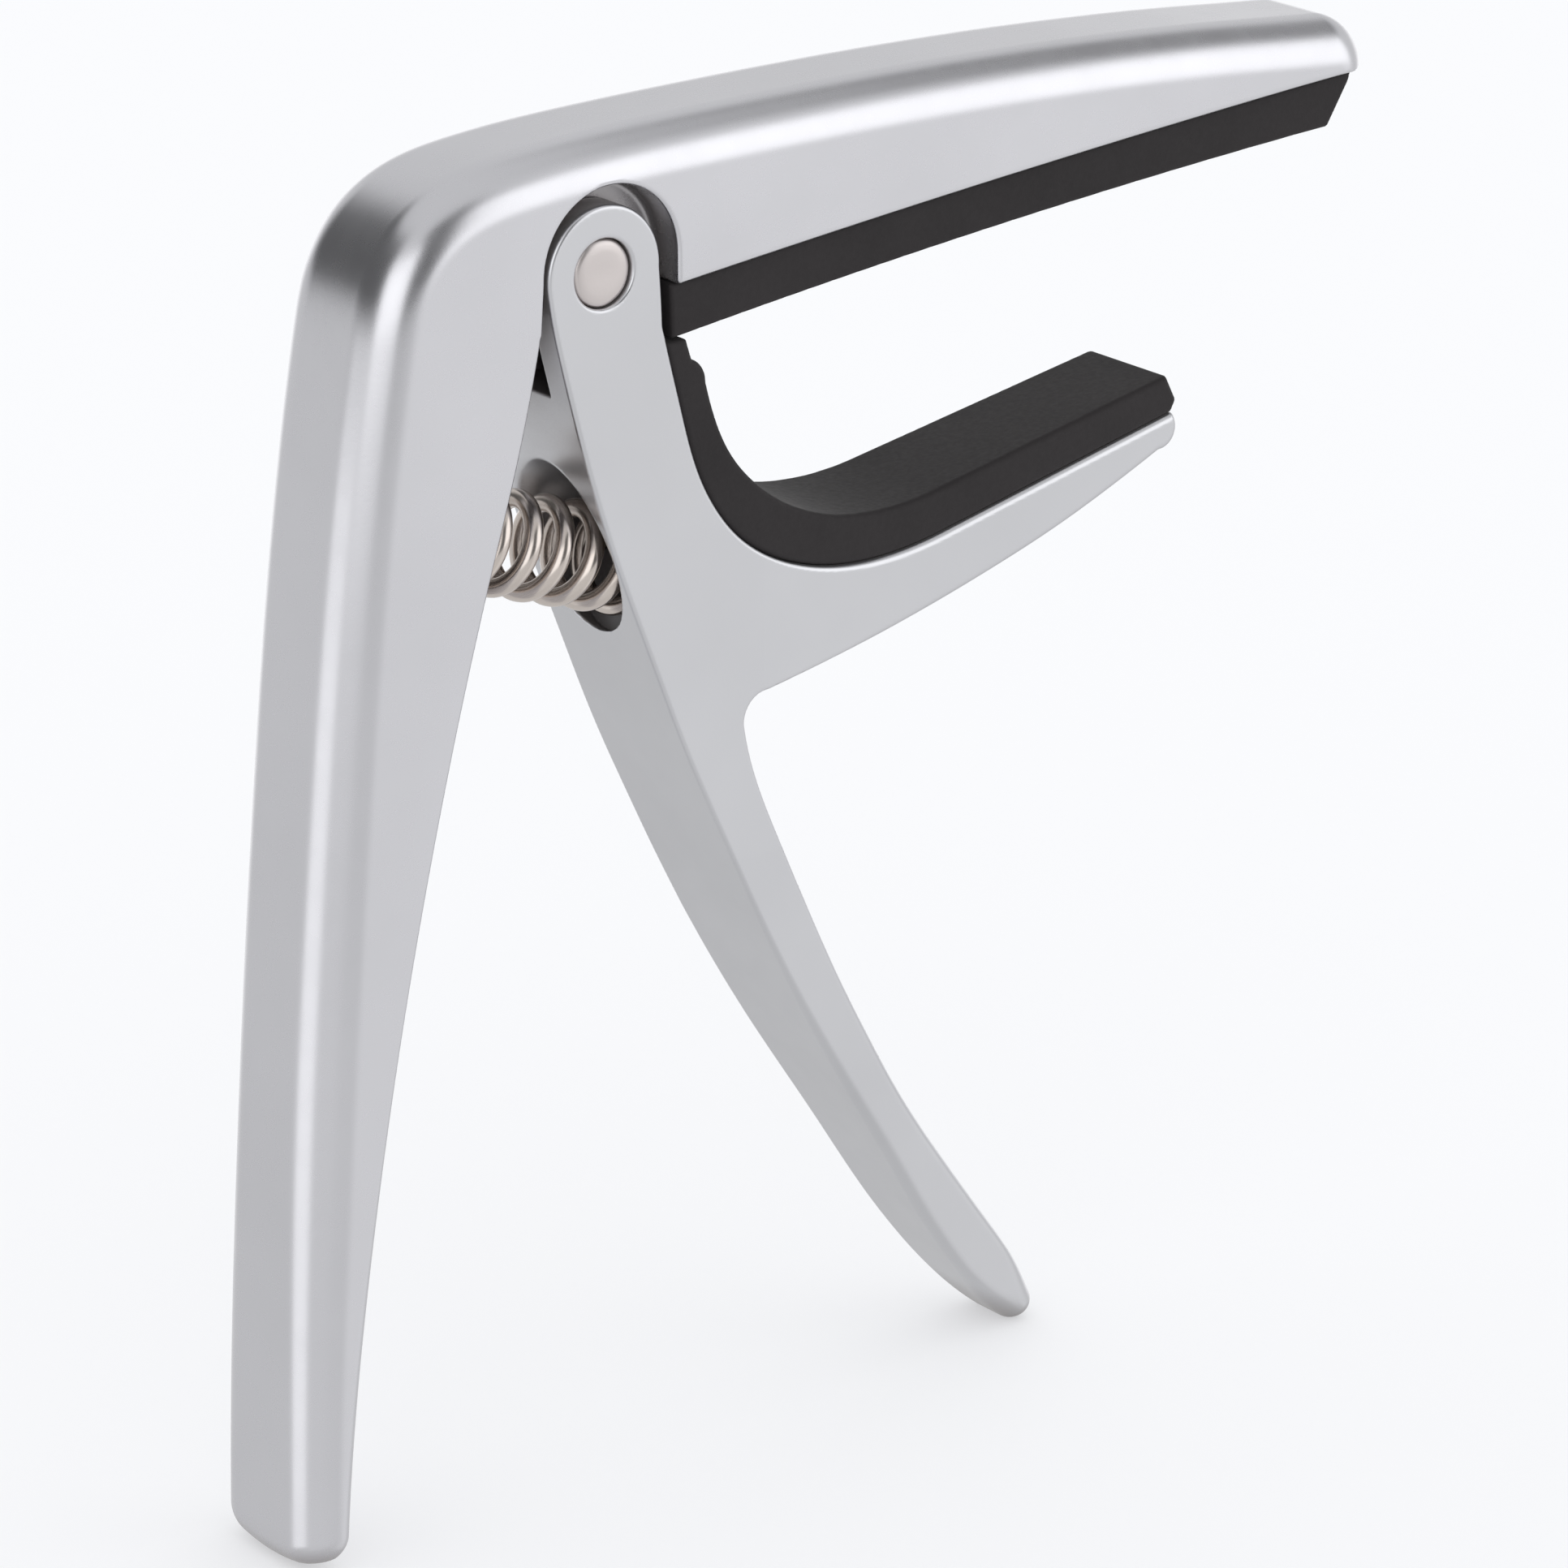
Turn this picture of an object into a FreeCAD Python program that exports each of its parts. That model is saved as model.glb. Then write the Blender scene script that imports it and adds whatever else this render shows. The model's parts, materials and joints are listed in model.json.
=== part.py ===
import FreeCAD, Part
import Sketcher
import math
import os
from FreeCAD import Vector, Placement, Rotation

# Guitar capo of the trigger kind, millimetres, +Z up.
# It stands on the ends of its two handles. The origin is on that ground,
# under the middle of the capo; +X runs from the elbow towards the free end
# of the bar, and the pivot pin lies along Y.
# Every piece is drawn about the pivot axis (x right, z up in the side view)
# and its Placement carries it to where the pivot stands, with the small lean
# that brings both handle ends down to the ground.

doc = FreeCAD.newDocument("capo")
sheet = doc.addObject("Spreadsheet::Sheet", "Dims")
sheet.Label = "Dims"

DIMS = [
    # alias, value, what it is
    ("pivot_x", -23.53, "pivot axis, from the origin"),
    ("pivot_height", 92.08, "pivot axis above the ground"),
    ("lean", 1.1, "lean of the capo, tip of the bar up, as it stands on its two handles, degrees"),
    ("arm_thick", 12.0, "thickness of the main arm"),
    ("arm_round", 3.5, "large round along the outside of the main arm"),
    ("recess_deep", 2.9, "depth of the side recess that takes one ear"),
    ("recess_rad", 5.8, "radius of the recess round the ear"),
    ("lever_thick", 11.4, "thickness of the lever over its ears"),
    ("ear_rad", 4.85, "radius of the ear's top"),
    ("slot_wide", 6.4, "slot between the ears"),
    ("hole_edge", 0.3, "chamfer at the mouths of the pin holes in the ears"),
    ("jaw_tip_thick", 9.2, "thickness of the jaw at its tip"),
    ("trigger_tip_thick", 6.6, "thickness of the trigger at its tip"),
    ("pin_dia", 5.0, "pivot pin"),
    ("pin_long", 11.1, "pivot pin, length"),
    ("pin_chamfer", 0.35, "chamfer on the pin's ends"),
    ("pin_play", 0.05, "radial play of the pin in the main arm"),
    ("seat_dia", 10.0, "bore of the spring pockets"),
    ("wire_dia", 1.4, "spring wire"),
    ("spring_dia", 7.9, "spring, outside diameter"),
    ("spring_pitch", 2.8, "spring pitch as it stands"),
    ("spring_long", 18.65, "spring, length as it stands"),
    ("spring_slope", 19.0, "slope of the spring below level, degrees"),
    ("well_slope", 26.0, "slope of the well in the lever below level, degrees"),
    ("string_pad_wide", 10.6, "width of the string pad"),
    ("saddle_pad_wide", 10.8, "width of the saddle pad at its root"),
    ("saddle_tip_wide", 8.8, "width of the saddle pad at its tip"),
    ("glue_line", 0.02, "glue line under each pad"),
]
for i, (alias, value, note) in enumerate(DIMS, start=1):
    sheet.set("A%d" % i, alias)
    sheet.set("B%d" % i, repr(float(value)))
    sheet.set("C%d" % i, note)
    sheet.setAlias("B%d" % i, alias)
doc.recompute()


def dim(name):
    return float(sheet.get(name))


def V(p):
    return Vector(p[0], p[1], 0)


def lean():
    return Rotation(Vector(0, 1, 0), -dim("lean"))


def plane(body, role):
    for f in body.Origin.OriginFeatures:
        if f.Role == role:
            return f
    raise RuntimeError("no plane " + role)


def new_body(label):
    body = doc.addObject("PartDesign::Body", label)
    body.Label = label
    body.Placement = Placement(Vector(dim("pivot_x"), 0, dim("pivot_height")), lean())
    body.setExpression("Placement.Base.x", "Dims.pivot_x")
    body.setExpression("Placement.Base.z", "Dims.pivot_height")
    return body


def new_sketch(body, name, role="XZ_Plane", offset=None):
    sk = body.newObject("Sketcher::SketchObject", name)
    sk.AttachmentSupport = (plane(body, role), "")
    sk.MapMode = "FlatFace"
    if offset is not None:
        sk.AttachmentOffset = offset
    return sk


def spline(points, start=None, end=None):
    bs = Part.BSplineCurve()
    pts = [V(p) for p in points]
    if start is not None and end is not None:
        bs.interpolate(Points=pts, InitialTangent=V(start), FinalTangent=V(end))
    else:
        bs.interpolate(Points=pts)
    return bs


def seg(a, b):
    return Part.LineSegment(V(a), V(b))


def arc(a, m, b):
    return Part.Arc(V(a), V(m), V(b))


def volume(o):
    return o.Shape.Volume


def check_cut(name, before, after, least):
    if not (before - after > least):
        raise RuntimeError("%s removed only %.3f" % (name, before - after))


def pad_mid(body, sk, name, expr):
    p = body.newObject("PartDesign::Pad", name)
    p.Profile = sk
    if hasattr(p, "SideType"):
        p.SideType = "Symmetric"
    else:
        p.Midplane = True
    p.setExpression("Length", expr)
    doc.recompute()
    return p


def pocket_mid(body, sk, name, expr):
    before = volume(body)
    p = body.newObject("PartDesign::Pocket", name)
    p.Profile = sk
    if hasattr(p, "SideType"):
        p.SideType = "Symmetric"
    else:
        p.Midplane = True
    p.setExpression("Length", expr)
    doc.recompute()
    check_cut(name, before, volume(body), 0.5)
    return p


def pocket_one(body, sk, name, expr, least=0.5):
    """A pocket to one side; the side that meets the solid is taken."""
    before = volume(body)
    p = body.newObject("PartDesign::Pocket", name)
    p.Profile = sk
    p.setExpression("Length", expr)
    doc.recompute()
    if not (before - volume(body) > least):
        p.Reversed = True
        doc.recompute()
    check_cut(name, before, volume(body), least)
    return p


def dress(body, kind, name, prop, expr, pick):
    """Rounds or chamfers the edges of the body's tip that pick() accepts."""
    tip = body.Tip
    names = ["Edge%d" % (i + 1) for i, e in enumerate(tip.Shape.Edges) if pick(e)]
    if not names:
        raise RuntimeError(name + ": no edges")
    f = body.newObject(kind, name)
    f.Base = (tip, names)
    f.setExpression(prop, expr)
    doc.recompute()
    if f.Shape.isNull() or not f.Shape.isValid() or "Invalid" in f.State or "Error" in f.State:
        raise RuntimeError(name + " failed on %d edges" % len(names))
    return f


def mid(e):
    a, b = e.ParameterRange
    return e.valueAt((a + b) / 2.0)


def samples(e, n=7):
    a, b = e.ParameterRange
    return [e.valueAt(a + (b - a) * k / (n - 1.0)) for k in range(n)]


# ---------------------------------------------------------------- main arm
# Outer line of the main arm, from the end of the bar over the elbow and
# down the handle, then the inner line back up to the pivot.
OUTER = [
    (69.45, 6.745), (65.0, 7.17), (58.5, 7.80), (52.0, 8.32), (45.7, 8.73),
    (39.4, 9.05), (33.3, 9.28), (27.3, 9.44), (21.4, 9.53), (15.5, 9.57),
    (9.8, 9.57), (4.2, 9.52), (-1.3, 9.38), (-6.6, 9.02), (-11.4, 8.15),
    (-15.6, 5.80), (-18.35, 1.85), (-19.55, -2.60), (-20.38, -7.10),
    (-22.40, -20.75), (-23.96, -34.85), (-25.33, -49.30), (-26.45, -64.0),
    (-27.25, -79.0), (-27.66, -91.566),
]
HANDLE_IN = [
    (-23.95, -91.637), (-23.05, -80.8), (-21.35, -67.7), (-19.15, -54.9),
    (-16.42, -42.5), (-13.30, -30.4), (-9.80, -18.65), (-7.95, -12.8),
    (-6.35, -6.9), (-5.60, -3.6),
]

arm = new_body("main_arm")
sk = new_sketch(arm, "arm_outline")
g = []
g.append(spline(OUTER))
g.append(seg(OUTER[-1], HANDLE_IN[0]))
g.append(spline(HANDLE_IN))
lobe_a = (-4.70, -3.05)
lobe_b = (5.25, -1.95)
g.append(seg(HANDLE_IN[-1], lobe_a))
g.append(arc(lobe_a, (0.25, -5.6), lobe_b))
under_a = (6.0, -1.95)
under_b = (73.0, 2.77)
g.append(seg(lobe_b, under_a))
g.append(arc(under_a, (39.5, 0.78), under_b))
g.append(arc(under_b, (69.0 + 4.0 * math.cos(math.radians(42)), 2.77 + 4.0 * math.sin(math.radians(42))), OUTER[0]))
for c in g:
    sk.addGeometry(c, False)
doc.recompute()
pad_mid(arm, sk, "arm_body", "Dims.arm_thick")


def outer_edge(e):
    ys = [p.y for p in samples(e)]
    if min(abs(abs(y) - dim("arm_thick") / 2) for y in ys) > 1e-3 or max(ys) - min(ys) > 1e-3:
        return False
    m = mid(e)
    if e.Length > 150:
        return True
    return e.Length < 8 and m.x > 70 and m.z > 2.8


dress(arm, "PartDesign::Fillet", "arm_outer_round", "Radius", "Dims.arm_round", outer_edge)

# The foot of the handle is rounded off, seen from the side and from behind.
sk = new_sketch(arm, "foot_side")
for c in (spline([(-27.62, -88.0), (-27.35, -89.8), (-26.7, -91.0), (-25.8, -91.602)]),
          seg((-25.8, -91.602), (-25.8, -94.0)), seg((-25.8, -94.0), (-32.0, -94.0)),
          seg((-32.0, -94.0), (-32.0, -88.0)), seg((-32.0, -88.0), (-27.62, -88.0))):
    sk.addGeometry(c, False)
doc.recompute()
pocket_mid(arm, sk, "foot_heel", "Dims.arm_thick + 2")
for side, name in ((1, "near"), (-1, "far")):
    sk = new_sketch(arm, "foot_corner_" + name, "YZ_Plane")
    hw = dim("arm_thick") / 2
    side_line = [(hw + 0.12, -66.0), (hw - 0.02, -73.0), (hw - 0.17, -80.0), (hw - 0.38, -86.0),
                 (hw - 0.85, -88.4), (hw - 1.85, -90.4), (hw - 3.6, -91.75)]
    line = [(-side * y, z) for y, z in side_line]
    sk.addGeometry(spline(line), False)
    sk.addGeometry(seg(line[-1], (-side * (hw + 3), -94.0)), False)
    sk.addGeometry(seg((-side * (hw + 3), -94.0), (-side * (hw + 3), -66.0)), False)
    sk.addGeometry(seg((-side * (hw + 3), -66.0), line[0]), False)
    doc.recompute()
    pocket_mid(arm, sk, "foot_round_" + name, "200")

# Side recesses for the ears, open downwards.
for side, name in ((1, "near"), (-1, "far")):
    sk = new_sketch(arm, "recess_" + name,
                    offset=Placement(Vector(0, 0, side * dim("arm_thick") / 2), Rotation()))
    sk.setExpression("AttachmentOffset.Base.z", "%d * Dims.arm_thick / 2" % side)
    r = dim("recess_rad")
    cx, cz = 0.5, 0.45
    g = [
        Part.Arc(V((cx + r, cz)), V((cx, cz + r)), V((cx - r, cz))),
        seg((cx - r, cz), (-5.65, -4.5)),
        seg((-5.65, -4.5), (-5.65, -9.0)),
        seg((-5.65, -9.0), (6.35, -9.0)),
        seg((6.35, -9.0), (cx + r, cz)),
    ]
    for c in g:
        sk.addGeometry(c, False)
    doc.recompute()
    pocket_one(arm, sk, "ear_recess_" + name, "Dims.recess_deep", 20)

# Bore of the tongue, with running play for the pin.
sk = new_sketch(arm, "arm_bore")
sk.addGeometry(Part.Circle(Vector(0, 0, 0), Vector(0, 0, 1), dim("pin_dia") / 2 + dim("pin_play")), False)
sk.addConstraint(Sketcher.Constraint("Coincident", 0, 3, -1, 1))
sk.addConstraint(Sketcher.Constraint("Radius", 0, dim("pin_dia") / 2 + dim("pin_play")))
sk.setExpression("Constraints[1]", "Dims.pin_dia / 2 + Dims.pin_play")
doc.recompute()
pocket_mid(arm, sk, "pin_bore", "Dims.arm_thick + 2")

# Blind seat for the spring in the inner face of the handle.
# The well in the lever slopes a little more than the spring itself.
def down(alias):
    a = math.radians(dim(alias))
    return Vector(math.cos(a), 0, -math.sin(a))


def square_to(direction):
    """Turns a plane's normal onto the direction."""
    return Rotation(Vector(0, 1, 0), math.degrees(math.atan2(direction.x, direction.z)))


ax = down("spring_slope")                          # spring axis, handle to lever
half_way = Vector(-2.2, 0, -20.75)                 # the middle of the spring
seat_at = -9.5                                     # along the spring from there
well_ax = down("well_slope")
rim = Vector(0.651, 0, -21.012)                    # centre of the well's mouth
well_at = 6.8                                      # depth of the well from there


sk = new_sketch(arm, "spring_seat", "XY_Plane", Placement(half_way + ax * seat_at, square_to(ax)))
sk.addGeometry(Part.Circle(Vector(0, 0, 0), Vector(0, 0, 1), dim("seat_dia") / 2), False)
sk.addConstraint(Sketcher.Constraint("Coincident", 0, 3, -1, 1))
sk.addConstraint(Sketcher.Constraint("Radius", 0, dim("seat_dia") / 2))
sk.setExpression("Constraints[1]", "Dims.seat_dia / 2")
doc.recompute()
before = volume(arm)
p = arm.newObject("PartDesign::Pocket", "seat_bore")
p.Profile = sk
p.Length = 9.0
p.Reversed = True
doc.recompute()
check_cut("seat_bore", before, volume(arm), 60)
if before - volume(arm) > 420:
    raise RuntimeError("seat bore cut the wrong way")

# ---------------------------------------------------------------- lever
REAR = [
    (-4.78, -0.6), (-4.25, -3.6), (-3.42, -7.0), (-1.45, -14.2), (1.15, -22.0),
    (4.10, -29.6), (7.10, -37.05), (10.45, -44.3), (13.95, -51.6),
    (17.95, -59.2), (22.28, -66.52), (26.86, -73.82), (31.60, -81.4),
    (35.45, -86.68), (38.45, -90.25), (40.90, -92.47),
]
TIP_C = (41.95, -91.40)
TIP_R = 1.5
FRONT = [
    (43.27, -90.70), (40.98, -87.05), (37.90, -82.80), (32.72, -75.78), (28.40, -69.55),
    (24.35, -62.8), (20.95, -56.6), (17.75, -50.1), (14.95, -44.0),
    (12.75, -38.0), (12.30, -35.75),
]
UNDER = [
    (14.50, -33.62), (20.2, -32.78), (25.85, -31.80), (31.4, -30.60),
    (36.9, -29.22), (42.4, -27.65), (47.7, -25.82), (53.0, -23.75),
]
SADDLE = [
    (5.12, -4.7), (5.95, -8.0), (6.68, -10.8), (7.40, -13.5), (8.42, -16.4),
    (9.90, -19.1), (12.0, -21.6), (15.05, -23.75), (18.35, -25.1),
    (21.8, -25.85), (25.3, -26.05), (28.6, -25.85), (31.8, -25.35),
]
SADDLE_END = (54.35, -21.05)

lever = new_body("lever")
sk = new_sketch(lever, "lever_outline")
g = []
er = dim("ear_rad")
ec = (0.05, 0.0)
ear_l = REAR[0]
ear_r = (ec[0] + er * math.cos(math.radians(-4)), ec[1] + er * math.sin(math.radians(-4)))
g.append(arc(ear_l, (ec[0], ec[1] + er), ear_r))
g.append(spline([ear_r, (5.02, -2.2), (5.12, -4.7)]))
g.append(spline(SADDLE))
g.append(seg(SADDLE[-1], SADDLE_END))
g.append(arc(SADDLE_END, (54.75, -22.35), UNDER[-1]))
g.append(spline(list(reversed(UNDER))))
g.append(arc(UNDER[0], (12.88, -34.25), FRONT[-1]))
g.append(spline(list(reversed(FRONT))))
g.append(arc(FRONT[0], (TIP_C[0] + TIP_R * 0.62, TIP_C[1] - TIP_R * 0.7846), REAR[-1]))
g.append(spline(list(reversed(REAR))))
for c in g:
    sk.addGeometry(c, False)
doc.recompute()
pad_mid(lever, sk, "lever_body", "Dims.lever_thick")

# The jaw narrows towards its tip, seen from above.
for side, name in ((1, "near"), (-1, "far")):
    sk = new_sketch(lever, "jaw_side_" + name, "XY_Plane", Placement(Vector(0, 0, -36.5), Rotation()))
    hw = dim("lever_thick") / 2
    ht = dim("jaw_tip_thick") / 2
    pts = [(14.0, -side * hw), (20.0, -side * (hw + 2)), (60.0, -side * (hw + 2)), (60.0, -side * (ht - 0.13)), (14.0, -side * hw)]
    for a, b in zip(pts[:-1], pts[1:]):
        sk.addGeometry(seg(a, b), False)
    doc.recompute()
    before = volume(lever)
    p = lever.newObject("PartDesign::Pocket", "jaw_taper_" + name)
    p.Profile = sk
    p.Length = 18.0
    p.Reversed = True
    doc.recompute()
    check_cut("jaw taper", before, volume(lever), 20)

# The trigger narrows towards its tip, seen from behind.
for side, name in ((1, "near"), (-1, "far")):
    sk = new_sketch(lever, "trigger_side_" + name, "YZ_Plane")
    hw = dim("lever_thick") / 2
    ht = dim("trigger_tip_thick") / 2
    taper = spline([(-side * hw, -44.0), (-side * (hw - 0.22), -54.0), (-side * (hw - 0.62), -64.0),
                    (-side * (hw - 1.3), -76.0), (-side * (hw - 1.95), -85.0), (-side * (ht - 0.15), -89.0)])
    round_off = spline([(-side * (ht - 0.15), -89.0), (-side * (ht - 0.42), -90.7),
                        (-side * (ht - 1.15), -92.1), (-side * (ht - 2.1), -92.95)])
    sk.addGeometry(taper, False)
    sk.addGeometry(round_off, False)
    sk.addGeometry(seg((-side * (ht - 2.1), -92.95), (-side * (hw + 3), -95.0)), False)
    sk.addGeometry(seg((-side * (hw + 3), -95.0), (-side * (hw + 3), -46.0)), False)
    sk.addGeometry(seg((-side * (hw + 3), -46.0), (-side * hw, -44.0)), False)
    doc.recompute()
    before = volume(lever)
    p = lever.newObject("PartDesign::Pocket", "trigger_taper_" + name)
    p.Profile = sk
    if hasattr(p, "SideType"):
        p.SideType = "Symmetric"
    else:
        p.Midplane = True
    p.Length = 120.0
    doc.recompute()
    check_cut("trigger taper", before, volume(lever), 20)

# Slot between the ears: the tongue of the main arm stands in it.
sk = new_sketch(lever, "ear_slot")
slot = [(-8.0, 6.5), (-8.0, -8.55), (9.0, -9.9), (9.0, 6.5), (-8.0, 6.5)]
for a, b in zip(slot[:-1], slot[1:]):
    sk.addGeometry(seg(a, b), False)
doc.recompute()
pocket_mid(lever, sk, "ear_gap", "Dims.slot_wide")

# Bore through both ears.
sk = new_sketch(lever, "ear_bore")
sk.addGeometry(Part.Circle(Vector(0, 0, 0), Vector(0, 0, 1), dim("pin_dia") / 2), False)
sk.addConstraint(Sketcher.Constraint("Coincident", 0, 3, -1, 1))
sk.addConstraint(Sketcher.Constraint("Radius", 0, dim("pin_dia") / 2))
sk.setExpression("Constraints[1]", "Dims.pin_dia / 2")
doc.recompute()
pocket_mid(lever, sk, "ear_pin_bore", "Dims.lever_thick + 2")

def ear_hole_edge(e):
    if not isinstance(e.Curve, Part.Circle):
        return False
    return abs(e.Curve.Radius - dim("pin_dia") / 2) < 1e-3 and abs(abs(mid(e).y) - dim("lever_thick") / 2) < 1e-3


dress(lever, "PartDesign::Chamfer", "ear_hole_mouths", "Size", "Dims.hole_edge", ear_hole_edge)

# Well for the spring in the lever's back, along the spring's axis.
sk = new_sketch(lever, "spring_well", "XY_Plane", Placement(rim + well_ax * well_at, square_to(well_ax)))
sk.addGeometry(Part.Circle(Vector(0, 0, 0), Vector(0, 0, 1), dim("seat_dia") / 2), False)
sk.addConstraint(Sketcher.Constraint("Coincident", 0, 3, -1, 1))
sk.addConstraint(Sketcher.Constraint("Radius", 0, dim("seat_dia") / 2))
sk.setExpression("Constraints[1]", "Dims.seat_dia / 2")
doc.recompute()
before = volume(lever)
p = lever.newObject("PartDesign::Pocket", "well_bore")
p.Profile = sk
p.Length = 16.0
doc.recompute()
check_cut("well_bore", before, volume(lever), 200)

# ---------------------------------------------------------------- pin
pin = doc.addObject("Part::Cylinder", "pin_stock")
pin.setExpression("Radius", "Dims.pin_dia / 2")
pin.setExpression("Height", "Dims.pin_long")
doc.recompute()
pinc = doc.addObject("Part::Chamfer", "pivot_pin")
pinc.Base = pin
ends = [i + 1 for i, e in enumerate(pin.Shape.Edges) if isinstance(e.Curve, Part.Circle)]
pinc.Edges = [(i, dim("pin_chamfer"), dim("pin_chamfer")) for i in ends]
pinc.Label = "pivot_pin"
pinc.Placement = Placement(Vector(dim("pivot_x"), dim("pin_long") / 2, dim("pivot_height")),
                           Rotation(Vector(1, 0, 0), 90))
pinc.setExpression("Placement.Base.x", "Dims.pivot_x")
pinc.setExpression("Placement.Base.y", "Dims.pin_long / 2")
pinc.setExpression("Placement.Base.z", "Dims.pivot_height")

# ---------------------------------------------------------------- spring
helix = doc.addObject("Part::Helix", "spring_line")
helix.setExpression("Pitch", "Dims.spring_pitch")
helix.setExpression("Height", "Dims.spring_long - Dims.wire_dia")
helix.setExpression("Radius", "(Dims.spring_dia - Dims.wire_dia) / 2")
wire = doc.addObject("Part::Circle", "spring_wire")
wire.setExpression("Radius", "Dims.wire_dia / 2")
wire.setExpression("Placement.Base.x", "(Dims.spring_dia - Dims.wire_dia) / 2")
wire.Placement = Placement(Vector((dim("spring_dia") - dim("wire_dia")) / 2, 0, 0), Rotation(Vector(1, 0, 0), 90))
doc.recompute()
spring = doc.addObject("Part::Sweep", "clamp_spring")
spring.Sections = [wire]
spring.Spine = (helix, ["Edge1"])
spring.Solid = True
spring.Frenet = True
spring.Label = "clamp_spring"
start = half_way + ax * (seat_at + dim("wire_dia") / 2 + 0.05)
spring.Placement = Placement(Vector(dim("pivot_x"), 0, dim("pivot_height")), lean()).multiply(Placement(start, square_to(ax)))

# ---------------------------------------------------------------- string pad
spad = new_body("string_pad")
sk = new_sketch(spad, "string_pad_outline")
gl = dim("glue_line")
top_a = (6.05, -1.95 - gl)
top_m = (38.5, 0.72 - gl)
top_b = (71.0, 2.66 - gl)
low_a = (6.20, -5.93)
low_m = (38.0, -3.03)
low_b = (68.7, -1.33)
g = [
    arc(top_a, (39.5 - 1.0, 0.78 - 0.068 - gl), top_b),
    seg(top_b, (70.75, 1.85)),
    seg((70.75, 1.85), low_b),
    arc(low_b, low_m, low_a),
    seg(low_a, top_a),
]
for c in g:
    sk.addGeometry(c, False)
doc.recompute()
pad_mid(spad, sk, "string_pad_body", "Dims.string_pad_wide")

# ---------------------------------------------------------------- saddle pad
sadd = new_body("saddle_pad")
sk = new_sketch(sadd, "saddle_pad_outline")
base = Part.BSplineCurve()
base.interpolate(Points=[V(p) for p in SADDLE])
# the pad's glued face follows the lever, one glue line away
n = 26
a0, a1 = base.FirstParameter, base.LastParameter
back = []
for k in range(n):
    u = a0 + (a1 - a0) * (0.012 + 0.988 * k / (n - 1.0))
    q = base.value(u)
    t = base.tangent(u)[0]
    nrm = Vector(-t.y, t.x, 0)
    if nrm.y < 0 and k > n // 2:
        nrm = nrm * -1
    if k <= n // 2 and nrm.x < 0:
        nrm = nrm * -1
    back.append((q.x + nrm.x * gl, q.y + nrm.y * gl))
TOPLINE = [
    (9.20, -9.55), (9.85, -11.85), (10.80, -14.2), (12.30, -16.5), (14.25, -18.45),
    (16.6, -20.1), (19.5, -21.45), (22.3, -22.2), (25.3, -22.5), (28.2, -22.45), (31.0, -22.1),
]
tail_l = back[0]
end_dir = Vector(SADDLE_END[0] - SADDLE[-1][0], SADDLE_END[1] - SADDLE[-1][1], 0)
end_dir.normalize()
tip_low = (SADDLE[-1][0] + end_dir.x * 22.72 - end_dir.y * gl, SADDLE[-1][1] + end_dir.y * 22.72 + end_dir.x * gl)
g = [
    spline(back),
    seg(back[-1], tip_low),
    seg(tip_low, (54.80, -20.15)),
    seg((54.80, -20.15), (53.75, -18.12)),
    seg((53.75, -18.12), TOPLINE[-1]),
    spline(list(reversed(TOPLINE))),
    arc(TOPLINE[0], (8.80, -8.35), (7.98, -7.75)),
    seg((7.98, -7.75), (7.45, -6.12)),
    seg((7.45, -6.12), (5.55, -6.12)),
    seg((5.55, -6.12), back[0]),
]
for c in g:
    sk.addGeometry(c, False)
doc.recompute()
pad_mid(sadd, sk, "saddle_pad_body", "Dims.saddle_pad_wide")
for side, name in ((1, "near"), (-1, "far")):
    sk = new_sketch(sadd, "saddle_side_" + name, "XY_Plane", Placement(Vector(0, 0, -27.5), Rotation()))
    hw = dim("saddle_pad_wide") / 2
    ht = dim("saddle_tip_wide") / 2
    pts = [(14.0, -side * hw), (20.0, -side * (hw + 2)), (60.0, -side * (hw + 2)), (60.0, -side * (ht - 0.13)), (14.0, -side * hw)]
    for a, b in zip(pts[:-1], pts[1:]):
        sk.addGeometry(seg(a, b), False)
    doc.recompute()
    before = volume(sadd)
    p = sadd.newObject("PartDesign::Pocket", "saddle_taper_" + name)
    p.Profile = sk
    p.Length = 26.0
    p.Reversed = True
    doc.recompute()
    check_cut("saddle taper", before, volume(sadd), 10)

doc.recompute()

# ---------------------------------------------------------------- write
for o in doc.Objects:
    if "Invalid" in o.State or "Error" in o.State:
        raise RuntimeError("%s: %s" % (o.Name, o.State))

NODES = [("main_arm", arm), ("lever", lever), ("pivot_pin", pinc),
         ("clamp_spring", spring), ("string_pad", spad), ("saddle_pad", sadd)]
os.makedirs("parts", exist_ok=True)
for node, obj in NODES:
    shape = obj.Shape
    if shape.isNull() or not shape.isValid() or len(shape.Solids) != 1:
        raise RuntimeError("%s is not one valid solid (%d)" % (node, len(shape.Solids)))
    bb = shape.optimalBoundingBox() if hasattr(shape, "optimalBoundingBox") else shape.BoundBox
    print("%-14s vol %9.1f  x %.2f..%.2f  y %.2f..%.2f  z %.2f..%.2f" % (
        node, shape.Volume, bb.XMin, bb.XMax, bb.YMin, bb.YMax, bb.ZMin, bb.ZMax))
for node, obj in NODES:
    obj.Shape.exportStep("parts/%s.step" % node)
print("wrote", len(NODES))
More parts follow.
